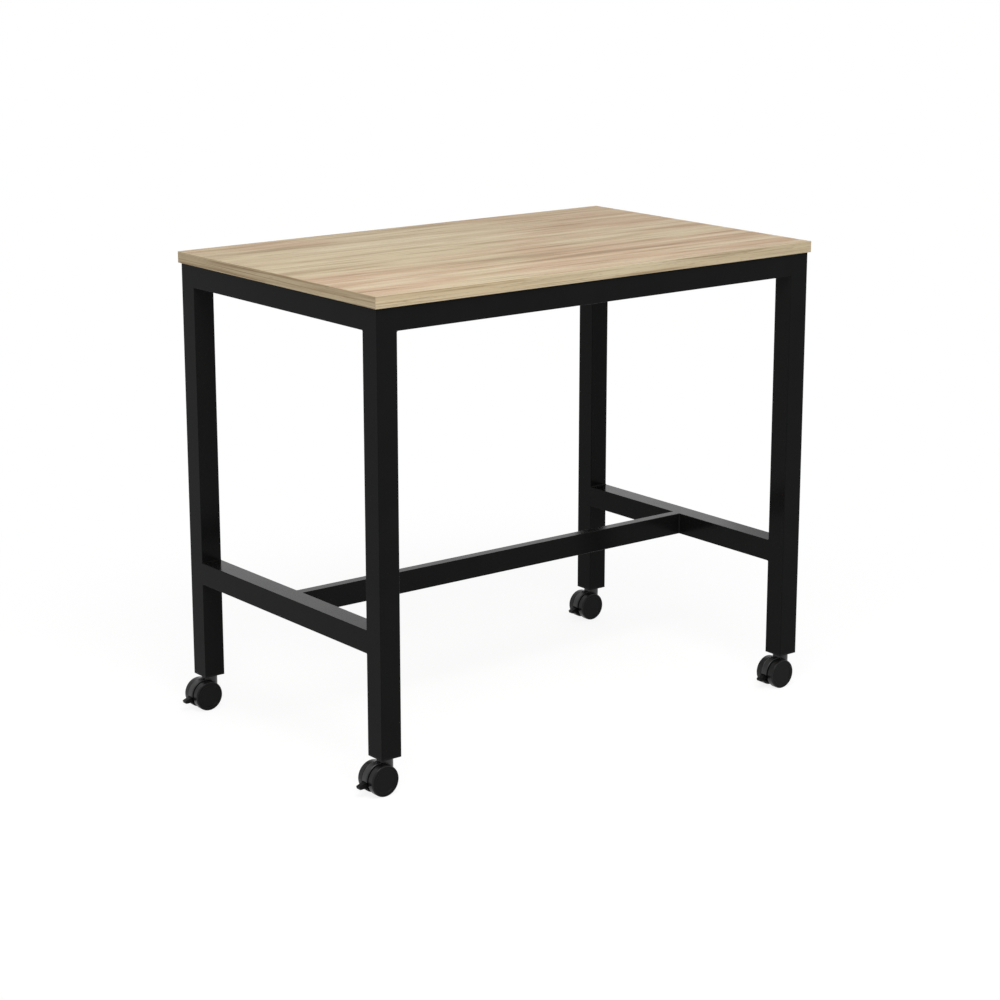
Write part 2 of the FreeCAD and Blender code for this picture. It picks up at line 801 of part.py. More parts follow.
def brake_lever(label, place):
    """Pedal, pivot boss and the boss that carries the brake bar, in one side profile."""
    body = new_body(label, place)
    tip_x = -HOOD_RADIUS - S.pedal_length
    tip_foot_x = tip_x + S.pedal_tip_slope
    tip_foot_z = -S.pedal_tip_drop - S.pedal_tip_height
    lip = S.hood_lip_rise - S.lever_lip_gap
    corners = [
        (BAR_X - BAR_BOSS, BAR_Z),
        (PIN_X - PIN_BOSS, PIN_Z),
        (HOOD_INNER_RADIUS * -KNEE_SHARE, S.lever_knee_rise),
        (-HOOD_INNER_RADIUS, lip),
        (-HOOD_RADIUS - S.pedal_lip, -S.pedal_root_drop),
        (tip_x, -S.pedal_tip_drop),
        (tip_foot_x, tip_foot_z),
        (-HOOD_RADIUS, -S.pedal_root_drop - S.pedal_root_height),
        (PIN_X, PIN_Z - PIN_BOSS),
        (PIN_X + PIN_BOSS, PIN_Z),
        (BAR_X + BAR_BOSS, BAR_Z),
    ]
    arcs = {
        8: ((PIN_X, PIN_Z), 1),
        10: ((BAR_X, BAR_Z), 1),
    }
    sketch = new_sketch(body, "XZ_Plane")
    add_outline(sketch, corners, arcs)
    add_circle(sketch, PIN_X, PIN_Z, S.pin_radius + S.running_clearance)
    add_circle(sketch, BAR_X, BAR_Z, S.bar_radius + S.seat_clearance)
    extrude(body, "Pad", sketch, LEVER_HALF * 2, symmetric=True)
    fillet(
        body,
        S.pedal_round,
        lambda edge: is_crosswise_at(edge, tip_x, -S.pedal_tip_drop)
        or is_crosswise_at(edge, tip_foot_x, tip_foot_z),
    )
    return body


def caster(corner, side_x, side_y):
    """The nine pieces of one caster."""
    place = (LEG_X * side_x - S.trail, LEG_Y * side_y, S.wheel_radius)
    name = f"caster_{corner}"
    pieces = [
        caster_body(f"{name}_body", place),
        round_bar(f"{name}_axle", place, ZERO, ZERO, S.axle_radius, AXLE_HALF),
        round_bar(f"{name}_lever_pin", place, PIN_X, PIN_Z, S.pin_radius, HOOD_HALF),
        brake_lever(f"{name}_brake_lever", place),
        round_bar(f"{name}_brake_bar", place, BAR_X, BAR_Z, S.bar_radius, BAR_HALF),
    ]
    for side_name, side in (("front", -1), ("back", 1)):
        pieces.append(wheel(f"{name}_{side_name}_wheel", place, side))
        pieces.append(tyre(f"{name}_{side_name}_tyre", place, side))
    return pieces


def build():
    """All the nodes of the table."""
    nodes = [table_top()]
    nodes.append(edge_band("edge_band_front", "x", -1))
    nodes.append(edge_band("edge_band_back", "x", 1))
    nodes.append(edge_band("edge_band_left", "y", -1))
    nodes.append(edge_band("edge_band_right", "y", 1))
    nodes += frame()
    tabs = [fixing_tab(number, *place) for number, place in enumerate(tab_places(), 1)]
    nodes.append(group("fixing_tabs", tabs))
    screws = [top_screw(number, place) for number, place in enumerate(screw_places(), 1)]
    nodes.append(group("top_screws", screws))
    nodes += leg_ends()
    for corner, sides in CORNERS.items():
        nodes += caster(corner, *sides)
    return nodes


def check(nodes):
    """Stops before anything is written if a feature failed, a cut cut nothing or a solid is bad."""
    for item in doc.Objects:
        if {"Invalid", "Error"} & set(item.State):
            raise RuntimeError(f"{item.Name} failed: {item.State}")
        if item.TypeId in ("PartDesign::Pocket", "PartDesign::Groove"):
            if item.Shape.Volume >= item.BaseFeature.Shape.Volume:
                raise RuntimeError(f"{item.Name} cuts nothing")
    for node in nodes:
        if node.Shape.isNull() or not node.Shape.isValid():
            raise RuntimeError(f"{node.Label} has no valid shape")


nodes = build()
doc.recompute()
check(nodes)
os.makedirs("parts", exist_ok=True)
for node in nodes:
    node.Shape.exportStep(f"parts/{node.Label}.step")
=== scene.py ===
"""Dresses the bar table: printed oak top, black tube frame, four braked casters and a white studio."""

import math

import bmesh
import bpy
from mathutils import Matrix, Vector


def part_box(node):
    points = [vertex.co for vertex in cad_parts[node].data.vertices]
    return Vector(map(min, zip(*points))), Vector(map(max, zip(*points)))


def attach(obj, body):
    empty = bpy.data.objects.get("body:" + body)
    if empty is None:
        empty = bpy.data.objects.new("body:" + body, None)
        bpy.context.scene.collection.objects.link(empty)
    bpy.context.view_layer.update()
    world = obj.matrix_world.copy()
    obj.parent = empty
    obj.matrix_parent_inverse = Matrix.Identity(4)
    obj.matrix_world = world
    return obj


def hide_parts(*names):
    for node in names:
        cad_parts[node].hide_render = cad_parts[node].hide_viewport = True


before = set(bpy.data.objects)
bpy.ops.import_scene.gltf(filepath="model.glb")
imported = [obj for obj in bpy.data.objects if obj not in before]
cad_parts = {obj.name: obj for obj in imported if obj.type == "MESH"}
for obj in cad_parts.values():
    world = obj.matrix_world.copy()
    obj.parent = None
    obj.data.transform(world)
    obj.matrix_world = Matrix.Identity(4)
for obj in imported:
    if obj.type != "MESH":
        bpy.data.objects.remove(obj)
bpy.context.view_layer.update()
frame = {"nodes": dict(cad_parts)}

bl_info = {
    "name": "Bar table",
    "version": (1, 0, 0),
    "blender": (4, 5, 0),
    "location": "View3D > Sidebar > Bar table",
    "description": "Dresses a wheeled bar table and sets it in a white studio",
    "category": "Object",
}

MM = 0.001
X, Y, Z = range(3)
CORNERS = ("front_left", "front_right", "back_left", "back_right")
ENDS = ("left", "right")
SIDES = ("front", "back")
WHITE = (1, 1, 1, 1)

# Points that lie closer than this are one point
TOUCH = 0.001 * MM

# Nearly all values of a noise pattern lie between these two
NOISE_LOW = 0.3
NOISE_HIGH = 0.7


def linear(code):
    """Turns an sRGB hex value into the linear colour that the shaders take."""
    channels = [int(code[n:n + 2], 16) / 255 for n in (1, 3, 5)]
    return [c / 12.92 if c <= 0.04045 else ((c + 0.055) / 1.055) ** 2.4 for c in channels] + [1.0]


def colour(label, code, words):
    """A colour that a user may change."""
    return bpy.props.FloatVectorProperty(
        name=label, description=words, subtype="COLOR", size=4, min=0, max=1, default=linear(code)
    )


def length(label, millimetres, words):
    """A length that a user may change."""
    return bpy.props.FloatProperty(
        name=label, description=words, unit="LENGTH", subtype="DISTANCE",
        min=0, default=millimetres * MM,
    )


class WoodLook(bpy.types.PropertyGroup):
    """The printed oak of the top and its edging."""

    tan: colour("Tan", "#D0BD9B", "Ground colour of the printed oak")
    rose: colour("Rose", "#CBAD8F", "Warmer heartwood bands")
    brown: colour("Brown", "#94795A", "Dark growth lines")
    pale: colour("Pale", "#E0D2B3", "Light streaks between the growth lines")
    band_width: length("Band width", 240, "Width of the broad tan and rose bands")
    streak_width: length("Streak width", 42, "Width of a group of growth lines")
    line_width: length("Line width", 9, "Width of one growth line")
    hair_width: length("Hairline width", 2.2, "Width of the finest growth lines")
    # A real pore is about 0.2 mm wide, and is drawn coarser so that it shows
    pore_width: length("Pore width", 1.1, "Width of a pore")
    pore_depth: length("Pore depth", 0.2, "Depth of a pore in the pressed surface")
    streak_length: length("Streak length", 750, "Length over which a streak of the top fades")
    edge_streak_length: length("Edge streak", 1500, "Length over which a streak of the edging fades")


class FrameLook(bpy.types.PropertyGroup):
    """The powder-coated steel frame and its welds."""

    coat: colour("Coat", "#121212", "Black of the powder coat")
    haze: colour("Haze", "#191919", "Paler clouds in the coat")
    cloud: length("Cloud", 90, "Spacing of the paler clouds")
    peel: length("Orange peel", 3, "Spacing of the coat's orange peel")
    peel_depth: length("Orange peel depth", 0.3, "Depth of the coat's orange peel")
    corner: length("Tube corner", 1.5, "Outer rounding of the tubes")
    bead: length("Weld bead", 2.5, "Leg of the weld bead in an inner corner")
    ripple: length("Weld ripple", 2, "Spacing of the ripples along a bead")


class CasterLook(bpy.types.PropertyGroup):
    """The moulded casters and their treads."""

    nylon: colour("Nylon", "#131313", "Black of the hood")
    disc: colour("Disc", "#131313", "Black of the wheels")
    lever: colour("Lever", "#121212", "Black of the brake lever")
    tread: colour("Tread", "#171717", "Dark grey of the soft tread")
    mottle: length("Mottle", 9, "Spacing of the flow marks in the moulding")
    ridge: length("Pedal ridge", 1.4, "Width of a ridge on the brake pedal")


class FixingLook(bpy.types.PropertyGroup):
    """Screws, stems, pins and the leg inserts."""

    zinc: colour("Zinc", "#C4C6C8", "Bright zinc plating")
    bath_mark: colour("Bath mark", "#A9ABAD", "Duller clouds that the plating bath leaves")
    cloud: length("Cloud", 4, "Spacing of the duller clouds")
    insert: colour("Insert", "#141414", "Black of the leg inserts")
    mottle: length("Mottle", 9, "Spacing of the flow marks in the leg inserts")


class StudioLook(bpy.types.PropertyGroup):
    """Camera, floor and lamps."""

    floor: colour("Floor", "#E7E7E7", "Floor as the lamps see it")
    floor_size: length("Floor size", 14000, "Side of the square floor")
    shadow_core: length("Shadow core", 1000, "Reach from the table's middle of the full shadow")
    shadow_end: length("Shadow end", 2000, "Reach from the table's middle past which the floor is white")
    shadow_share: bpy.props.FloatProperty(
        name="Shadow share", description="How much of the floor's white the shadow takes away",
        subtype="FACTOR", min=0, max=1, default=0.22,
    )
    floor_light: bpy.props.FloatProperty(
        name="Floor light", description="Brightness of the open floor, which the shadow is measured from",
        min=0, default=0.62,
    )
    ambient: bpy.props.FloatProperty(
        name="Ambient", description="Strength of the light from all round", min=0, default=0.42,
    )
    key_power: bpy.props.FloatProperty(
        name="Key light", description="Power of the soft box over the table",
        unit="POWER", min=0, default=70,
    )
    strip_power: bpy.props.FloatProperty(
        name="Strip light", description="Power of the low strip behind the table",
        unit="POWER", min=0, default=5.2,
    )
    focal_length: bpy.props.FloatProperty(
        name="Focal length", description="Focal length on the 36 mm sensor",
        unit="CAMERA", min=1, default=90.13,
    )


class TableLook(bpy.types.PropertyGroup):
    """Everything that a user may change."""

    wood: bpy.props.PointerProperty(type=WoodLook)
    frame: bpy.props.PointerProperty(type=FrameLook)
    caster: bpy.props.PointerProperty(type=CasterLook)
    fixing: bpy.props.PointerProperty(type=FixingLook)
    studio: bpy.props.PointerProperty(type=StudioLook)


def new_material(name):
    """An empty material and its node tree."""
    material = bpy.data.materials.new(name)
    material.use_nodes = True
    material.node_tree.nodes.clear()
    return material, material.node_tree


def add_node(tree, kind, inputs=None, **settings):
    """Adds a node, sets its options, and fills or links its sockets."""
    node = tree.nodes.new(kind)
    for name, value in settings.items():
        setattr(node, name, value)
    for socket, value in (inputs or {}).items():
        if isinstance(value, bpy.types.NodeSocket):
            tree.links.new(value, node.inputs[socket])
        else:
            node.inputs[socket].default_value = value
    return node


def pattern_places(tree, sizes, shift=(0, 0, 0)):
    """Object coordinates in which one unit is the pattern's real size along each axis."""
    place = add_node(tree, "ShaderNodeTexCoord").outputs["Object"]
    scale = [1 / size for size in sizes]
    return add_node(
        tree, "ShaderNodeMapping", {"Vector": place, "Scale": scale, "Location": shift}
    ).outputs["Vector"]


def printed_oak(name, look, along, streak_length, shift, warmth, depth):
    """Melamine or ABS printed with oak: long straight growth lines, short pores, hardly any sheen.

    The shift picks a stretch of the endless grain, in pattern sizes. Warmth is how much rose the bands
    take, and depth is how strong the dark lines are.
    """
    material, tree = new_material(name)
    # Each pattern's width, its share of the streak length, and its fineness
    patterns = {
        "band": (look.band_width, 0.72, 3),
        "streak": (look.streak_width, 1, 4),
        "line": (look.line_width, 0.32, 3),
        "hair": (look.hair_width, 0.3, 2),
        "pore": (look.pore_width, 0.016, 1),
    }
    grain = {}
    for pattern, (width, stretch_share, detail) in patterns.items():
        sizes = [width] * 3
        sizes[along] = streak_length * stretch_share
        places = pattern_places(tree, sizes, shift)
        grain[pattern] = add_node(
            tree, "ShaderNodeTexNoise",
            {"Vector": places, "Scale": 1, "Detail": detail, "Roughness": 0.55},
        ).outputs["Fac"]
    # The pattern that carries an ink, where the ink starts and where it is full, how much it covers there
    inks = (
        ("band", 0.42, 0.58, warmth, look.rose),
        ("streak", 0.5, 0.3, 0.75, look.pale),
        ("streak", 0.5, 0.68, 0.7 * depth, look.brown),
        ("line", 0.52, 0.7, 0.55 * depth, look.brown),
        ("line", 0.48, 0.3, 0.5, look.pale),
        ("hair", 0.54, 0.7, 0.5 * depth, look.brown),
        ("pore", 0.6, 0.75, 0.45, look.brown),
    )
    tone = look.tan
    for pattern, start, full, most, ink in inks:
        share = add_node(
            tree, "ShaderNodeMapRange",
            {"Value": grain[pattern], "From Min": start, "From Max": full, "To Max": most},
            interpolation_type="SMOOTHSTEP",
        )
        tone = add_node(
            tree, "ShaderNodeMix",
            {"Factor": share.outputs["Result"], "A": tone, "B": ink}, data_type="RGBA",
        ).outputs["Result"]
    dull = add_node(
        tree, "ShaderNodeMapRange",
        {
            "Value": grain["line"], "From Min": NOISE_LOW, "From Max": NOISE_HIGH,
            "To Min": 0.52, "To Max": 0.64,
        },
    )
    pores = add_node(
        tree, "ShaderNodeBump",
        {"Height": grain["pore"], "Strength": 0.1, "Distance": look.pore_depth}, invert=True,
    )
    skin = add_node(
        tree, "ShaderNodeBsdfPrincipled",
        {
            "Base Color": tone, "Roughness": dull.outputs["Result"],
            "Normal": pores.outputs["Normal"], "IOR": 1.5, "Specular IOR Level": 0.15,
        },
    )
    add_node(tree, "ShaderNodeOutputMaterial", {"Surface": skin.outputs["BSDF"]})
    return material


def powder_coat(look):
    """Sprayed and baked polyester powder on steel: near black, satin, with a fine orange peel."""
    material, tree = new_material("black_powder_coat")
    peel = add_node(
        tree, "ShaderNodeTexNoise",
        {"Vector": pattern_places(tree, [look.peel] * 3), "Scale": 1, "Detail": 2, "Roughness": 0.5},
    )
    clouds = add_node(
        tree, "ShaderNodeTexNoise",
        {"Vector": pattern_places(tree, [look.cloud] * 3), "Scale": 1, "Detail": 3, "Roughness": 0.6},
    )
    satin = add_node(
        tree, "ShaderNodeMapRange",
        {
            "Value": clouds.outputs["Fac"], "From Min": NOISE_LOW, "From Max": NOISE_HIGH,
            "To Min": 0.16, "To Max": 0.22,
        },
    )
    tone = add_node(
        tree, "ShaderNodeMix",
        {"Factor": clouds.outputs["Fac"], "A": look.coat, "B": look.haze}, data_type="RGBA",
    )
    bump = add_node(
        tree, "ShaderNodeBump",
        {"Height": peel.outputs["Fac"], "Strength": 0.15, "Distance": look.peel_depth},
    )
    skin = add_node(
        tree, "ShaderNodeBsdfPrincipled",
        {
            "Base Color": tone.outputs["Result"], "Roughness": satin.outputs["Result"],
            "Normal": bump.outputs["Normal"], "IOR": 1.5, "Specular IOR Level": 0.042,
        },
    )
    add_node(tree, "ShaderNodeOutputMaterial", {"Surface": skin.outputs["BSDF"]})
    return material


MOULD_DEPTH = 0.1 * MM
FLOW_SPREAD = 0.06  # how far the flow marks change the roughness either way
FLOW_SHADE_SHARE = 0.7  # of the colour, in the darkest flow marks


def moulded(name, tint, mottle, dull, gloss, grain):
    """Moulded nylon or rubber: one dark colour, faint flow marks, and the grain of the mould.

    A real mould's grain is about 0.3 mm wide, and is drawn coarser so that it shows.
    """
    material, tree = new_material(name)
    flow = add_node(
        tree, "ShaderNodeTexNoise",
        {"Vector": pattern_places(tree, [mottle] * 3), "Scale": 1, "Detail": 3, "Roughness": 0.6},
    )
    spark = add_node(
        tree, "ShaderNodeTexNoise",
        {"Vector": pattern_places(tree, [grain] * 3), "Scale": 1, "Detail": 2, "Roughness": 0.5},
    )
    finish = add_node(
        tree, "ShaderNodeMapRange",
        {
            "Value": flow.outputs["Fac"], "From Min": NOISE_LOW, "From Max": NOISE_HIGH,
            "To Min": dull - FLOW_SPREAD, "To Max": dull + FLOW_SPREAD,
        },
    )
    darker = [c * FLOW_SHADE_SHARE for c in tint[:3]] + [1.0]
    tone = add_node(
        tree, "ShaderNodeMix",
        {"Factor": flow.outputs["Fac"], "A": tint, "B": darker}, data_type="RGBA",
    )
    bump = add_node(
        tree, "ShaderNodeBump",
        {"Height": spark.outputs["Fac"], "Strength": 0.1, "Distance": MOULD_DEPTH},
    )
    skin = add_node(
        tree, "ShaderNodeBsdfPrincipled",
        {
            "Base Color": tone.outputs["Result"], "Roughness": finish.outputs["Result"],
            "Normal": bump.outputs["Normal"], "IOR": 1.53, "Specular IOR Level": gloss,
        },
    )
    add_node(tree, "ShaderNodeOutputMaterial", {"Surface": skin.outputs["BSDF"]})
    return material


def zinc_steel(look):
    """Bright zinc on steel: a cool silver with faint clouds from the plating bath."""
    material, tree = new_material("zinc_plated_steel")
    clouds = add_node(
        tree, "ShaderNodeTexNoise",
        {"Vector": pattern_places(tree, [look.cloud] * 3), "Scale": 1, "Detail": 3, "Roughness": 0.6},
    )
    finish = add_node(
        tree, "ShaderNodeMapRange",
        {
            "Value": clouds.outputs["Fac"], "From Min": NOISE_LOW, "From Max": NOISE_HIGH,
            "To Min": 0.24, "To Max": 0.4,
        },
    )
    tone = add_node(
        tree, "ShaderNodeMix",
        {"Factor": clouds.outputs["Fac"], "A": look.zinc, "B": look.bath_mark}, data_type="RGBA",
    )
    skin = add_node(
        tree, "ShaderNodeBsdfPrincipled",
        {"Base Color": tone.outputs["Result"], "Roughness": finish.outputs["Result"], "Metallic": 1},
    )
    add_node(tree, "ShaderNodeOutputMaterial", {"Surface": skin.outputs["BSDF"]})
    return material


def dress(node, material):
    """Gives a CAD node its finish."""
    mesh = frame["nodes"][node].data
    mesh.materials.clear()
    mesh.materials.append(material)


def add_piece(name, shape, material, body):
    """Makes a finished shape a piece that rides on a body of the table."""
    bmesh.ops.remove_doubles(shape, verts=shape.verts, dist=TOUCH)
    bmesh.ops.recalc_face_normals(shape, faces=shape.faces)
    mesh = bpy.data.meshes.new(name)
    shape.to_mesh(mesh)
    shape.free()
    mesh.materials.append(material)
    piece = bpy.data.objects.new(name, mesh)
    bpy.context.scene.collection.objects.link(piece)
    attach(piece, body)
    return piece


def axis_step(axis, distance):
    """A step along one axis."""
    step = Vector((0, 0, 0))
    step[axis] = distance
    return step


def push(shape, outline, run, steps=1, ring_share=1.0):
    """Pushes a closed outline along a run, and draws every other ring in towards its first point."""
    face = shape.faces.new([shape.verts.new(point) for point in outline])
    corner = outline[0].copy()
    for step in range(steps):
        pushed = bmesh.ops.extrude_face_region(shape, geom=[face])["geom"]
        rim = [part for part in pushed if isinstance(part, bmesh.types.BMVert)]
        bmesh.ops.translate(shape, verts=rim, vec=run / steps)
        corner += run / steps
        size = 1 / ring_share if step % 2 else ring_share
        bmesh.ops.scale(shape, verts=rim, vec=[size] * 3, space=Matrix.Translation(-corner))
        if step:
            shape.faces.remove(face)
        face = next(part for part in pushed if isinstance(part, bmesh.types.BMFace))


# The stretch of the grain that is printed on the top and on its edging
TOP_SHIFT = (25.3, 9.8, 8.3)
LONG_EDGE_SHIFT = (1.7, 0.4, 0.9)
END_EDGE_SHIFT = (2.9, 1.3, 0.5)


class TABLE_OT_top(bpy.types.Operator):
    """Dress the board and its edging in printed oak"""

    bl_idname = "bar_table.top"
    bl_label = "Top and edging"

    def execute(self, context):
        look = context.scene.bar_table.wood
        board = printed_oak(
            "oak_laminate", look, X, look.streak_length, TOP_SHIFT, warmth=1, depth=1
        )
        long_edging = printed_oak(
            "oak_edging_long", look, X, look.edge_streak_length, LONG_EDGE_SHIFT, warmth=0, depth=1.4
        )
        end_edging = printed_oak(
            "oak_edging_end", look, Y, look.edge_streak_length, END_EDGE_SHIFT, warmth=0, depth=1.4
        )
        dress("table_top", board)
        for side in SIDES:
            dress("edge_band_" + side, long_edging)
        for end in ENDS:
            dress("edge_band_" + end, end_edging)
        return {"FINISHED"}


class TABLE_OT_frame(bpy.types.Operator):
    """Powder-coat the legs, the rails, the foot rest and the fixing tabs"""

    bl_idname = "bar_table.frame"
    bl_label = "Tube frame"

    def execute(self, context):
        coat = powder_coat(context.scene.bar_table.frame)
        tubes = ["leg_" + corner for corner in CORNERS]
        tubes += ["top_rail_" + side for side in SIDES + ENDS]
        tubes += ["foot_rail_" + end for end in ENDS]
        for node in tubes + ["stretcher", "fixing_tabs"]:
            dress(node, coat)
        return {"FINISHED"}


QUARTER_STEPS = 6  # facets of a quarter round
GROUND_TRIM_SHARE = 0.4  # of the tube's corner, by which a ground joint stops short at each end
CROWN_SHARE = 0.56  # of a bead's leg, along both tubes, to the crown of its section
HOLLOW_SHARE = 0.9  # of a bead's section, in the hollow between two ripples


class TABLE_OT_welds(bpy.types.Operator):
    """Weld the tubes: beads in the inner corners, and joints ground flush on the outside"""

    bl_idname = "bar_table.welds"
    bl_label = "Welds"

    def execute(self, context):
        look = context.scene.bar_table.frame
        coat = frame["nodes"]["stretcher"].data.materials[0]
        shape = bmesh.new()
        filled = set()
        for carrier, butted, axis in self.joints():
            self.weld(shape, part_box(carrier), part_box(butted), axis, look, filled)
        add_piece("frame_welds", shape, coat, "table")
        return {"FINISHED"}

    def joints(self):
        """Which tube carries which, and the axis along which the carried one runs."""
        for side in SIDES:
            for end in ENDS:
                leg = f"leg_{side}_{end}"
                yield leg, "top_rail_" + side, X
                yield leg, "top_rail_" + end, Y
                yield leg, "foot_rail_" + end, Y
        for end in ENDS:
            yield "foot_rail_" + end, "stretcher", X

    def weld(self, shape, carrier, butted, axis, look, filled):
        """Welds one tube's end to the tube that carries it, apart from the side that the board covers."""
        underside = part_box("table_top")[0].z
        facing = 1 if sum(c[axis] for c in butted) > sum(c[axis] for c in carrier) else -1
        joint = carrier[facing > 0][axis]
        away = axis_step(axis, facing)
        for across in {X, Y, Z} - {axis}:
            along = X + Y + Z - axis - across
            for high, out in ((0, -1), (1, 1)):
                face = butted[high][across]
                if across == Z and abs(face - underside) < look.corner:
                    continue
                side = axis_step(across, out)
                corner = axis_step(axis, joint) + axis_step(across, face)
                if abs(face - carrier[high][across]) > look.corner:
                    self.bead(shape, corner, away, side, along, butted, look)
                    continue
                # Two rails that meet at a leg share the groove in their inner corner
                groove = tuple(round(c / MM) for c in corner + axis_step(along, butted[0][along]))
                if groove not in filled:
                    filled.add(groove)
                    self.flush_weld(shape, corner, away, side, along, butted, look)

    def flush_weld(self, shape, corner, away, side, along, butted, look):
        """Fills the groove that the carrier's rounded edge leaves beside the butted tube."""
        radius = look.corner
        centre = corner - (away + side) * radius
        turns = [math.pi / 2 * step / QUARTER_STEPS for step in range(QUARTER_STEPS + 1)]
        arc = [centre + (side * math.cos(turn) + away * math.sin(turn)) * radius for turn in turns]
        trim = GROUND_TRIM_SHARE * radius
        start = axis_step(along, butted[0][along] + trim)
        run = axis_step(along, butted[1][along] - butted[0][along] - 2 * trim)
        push(shape, [point + start for point in [corner] + arc], run)

    def bead(self, shape, corner, away, side, along, butted, look):
        """Lays a rippled bead in the inner corner between two tubes."""
        leg = look.bead
        crown = (away + side) * CROWN_SHARE * leg
        section = [corner, corner + away * leg, corner + crown, corner + side * leg]
        start = axis_step(along, butted[0][along] + look.corner)
        run = axis_step(along, butted[1][along] - butted[0][along] - 2 * look.corner)
        steps = 2 * round(run.length / look.ripple)
        push(shape, [point + start for point in section], run, steps, HOLLOW_SHARE)


RIDGE_COUNT = 4
RIDGE_SPACING = 3 * MM
RIDGE_SIDES = 14
RIDGE_RINGS = 8
FIRST_RIDGE = 3.6 * MM  # from the pedal's tip
PEDAL_FACE = 6.1 * MM  # height of the pedal's face at its tip, over the lever's lowest point
PEDAL_CLIMB = 0.4  # rise of that face over its run


class TABLE_OT_casters(bpy.types.Operator):
    """Dress the caster bodies, wheels, treads and brake levers"""

    bl_idname = "bar_table.casters"
    bl_label = "Casters"

    def execute(self, context):
        look = context.scene.bar_table.caster
        nylon = moulded(
            "moulded_nylon", look.nylon, look.mottle, dull=0.36, gloss=0.42, grain=1.2 * MM
        )
        disc = moulded(
            "moulded_wheel_nylon", look.disc, look.mottle, dull=0.34, gloss=0.08, grain=1.2 * MM
        )
        lever = moulded(
            "moulded_lever_nylon", look.lever, look.mottle, dull=0.42, gloss=0.1, grain=0.8 * MM
        )
        tread = moulded("soft_tread", look.tread, look.mottle, dull=0.3, gloss=0.18, grain=1.5 * MM)
        for corner in CORNERS:
            caster = "caster_" + corner
            dress(caster + "_body", nylon)
            dress(caster + "_brake_lever", lever)
            for side in SIDES:
                dress(f"{caster}_{side}_wheel", disc)
                dress(f"{caster}_{side}_tyre", tread)
            self.add_grip(caster, lever, look)
        return {"FINISHED"}

    def add_grip(self, caster, lever, look):
        """Raises ridges across the pedal, where the shoe presses."""
        low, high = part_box(caster + "_brake_lever")
        middle = (low.y + high.y) / 2
        half = (high.y - low.y) / 2 - look.ridge
        quarter_turn = Matrix.Rotation(math.pi / 2, 3, "X")
        shape = bmesh.new()
        for ridge in range(RIDGE_COUNT):
            reach = FIRST_RIDGE + RIDGE_SPACING * ridge
            rise = PEDAL_FACE + PEDAL_CLIMB * reach
            bar = bmesh.ops.create_uvsphere(
                shape, u_segments=RIDGE_SIDES, v_segments=RIDGE_RINGS, radius=look.ridge / 2
            )["verts"]
            bmesh.ops.rotate(shape, verts=bar, cent=(0, 0, 0), matrix=quarter_turn)
            for end in (-1, 1):
                cap = [vertex for vertex in bar if vertex.co.y * end > TOUCH]
                bmesh.ops.translate(shape, verts=cap, vec=(0, end * half, 0))
            bmesh.ops.translate(shape, verts=bar, vec=(low.x + reach, middle, low.z + rise))
        grip = add_piece(caster + "_pedal_grip", shape, lever, caster + "_brake")
        grip.data.shade_smooth()


# Pan-head wood screw: millimetres from its axis, and up from its seat
HEAD_TOP = -2.6
PAN_HEAD = ((2.9, HEAD_TOP), (3.6, -2.45), (4.2, -1.9), (4.5, -1), (4.5, 0))
CREST_RADIUS = 2.2
ROOT_RADIUS = 1.6
HALF_PITCH = 1
THREAD_STEPS = 15  # roots and crests together
SCREW_POINT = 18
SCREW_SIDES = 24

RECESS_ARM = 2.1 * MM  # from the screw's axis
RECESS_HALF = 0.5 * MM  # half the width of an arm
RECESS_DEPTH = 1.5 * MM
RECESS_TAPER_SHARE = 0.7  # of the cross, at its bottom

SCREWS_APART = 20 * MM  # less than from any screw to the next
SCREW_REACH = 12 * MM  # more than from a screw's middle to its outside
HEAD_REACH = 5 * MM  # more than from a screw's seat to the rim on top of its head


